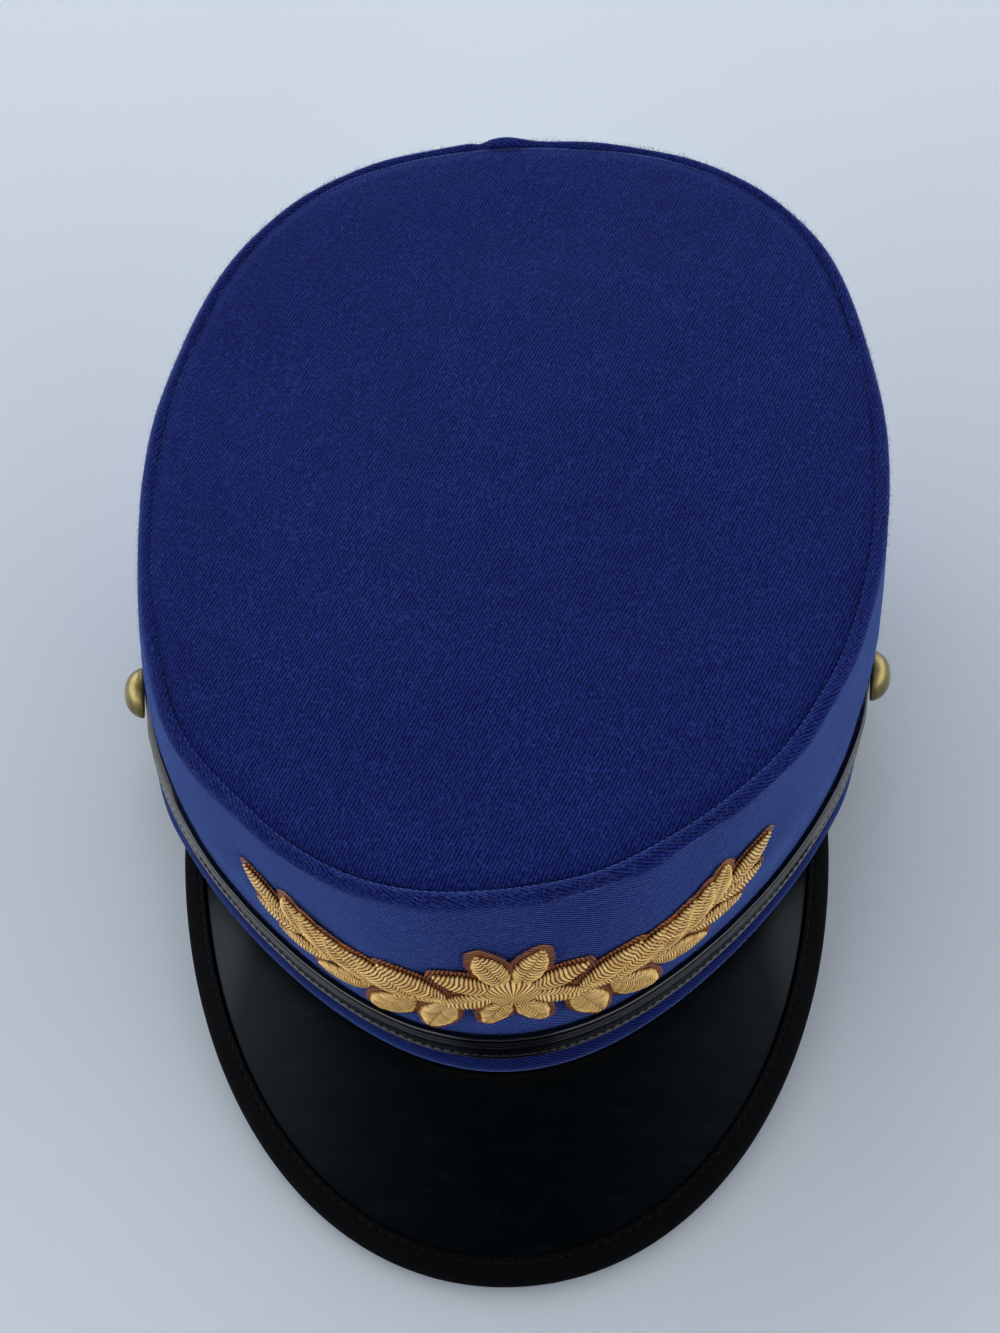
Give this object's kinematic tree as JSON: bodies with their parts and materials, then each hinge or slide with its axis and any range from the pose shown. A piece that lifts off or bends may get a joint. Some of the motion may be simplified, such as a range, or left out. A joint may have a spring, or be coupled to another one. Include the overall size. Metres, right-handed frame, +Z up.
{
  "type": "conductor cap",
  "caption": "Pillbox cap of blue twill with a short sloping black peak, a ribbed black chin strap between two brass buttons and a gold leaf ornament.",
  "frame": {"origin": "middle of the bottom of the cap's box, as it rests on the back of its rim and on the tip of its peak", "axes": "+Z up, the front of the cap faces -Y, +X is the right-hand side in a front view"},
  "size_m": [0.181, 0.2452, 0.0935],
  "materials": {
    "side_cloth": "royal blue wool-blend twill",
    "top_cloth": "the same blue twill, seen on its darker face",
    "vinyl": "smooth semi-gloss black vinyl",
    "tape": "black woven tape, stitched",
    "patent": "glossy black patent with moulded ribs",
    "brass": "antique brass, dulled",
    "gold_thread": "gold satin-stitch thread with a brown outline"
  },
  "bodies": {
    "root": {"crown_side": "side_cloth", "crown_top": "top_cloth", "peak": "vinyl", "peak_binding": "tape", "chin_strap": "patent", "button_right": "brass", "button_left": "brass", "front_emblem": "gold_thread"}
  },
  "joints": []
}
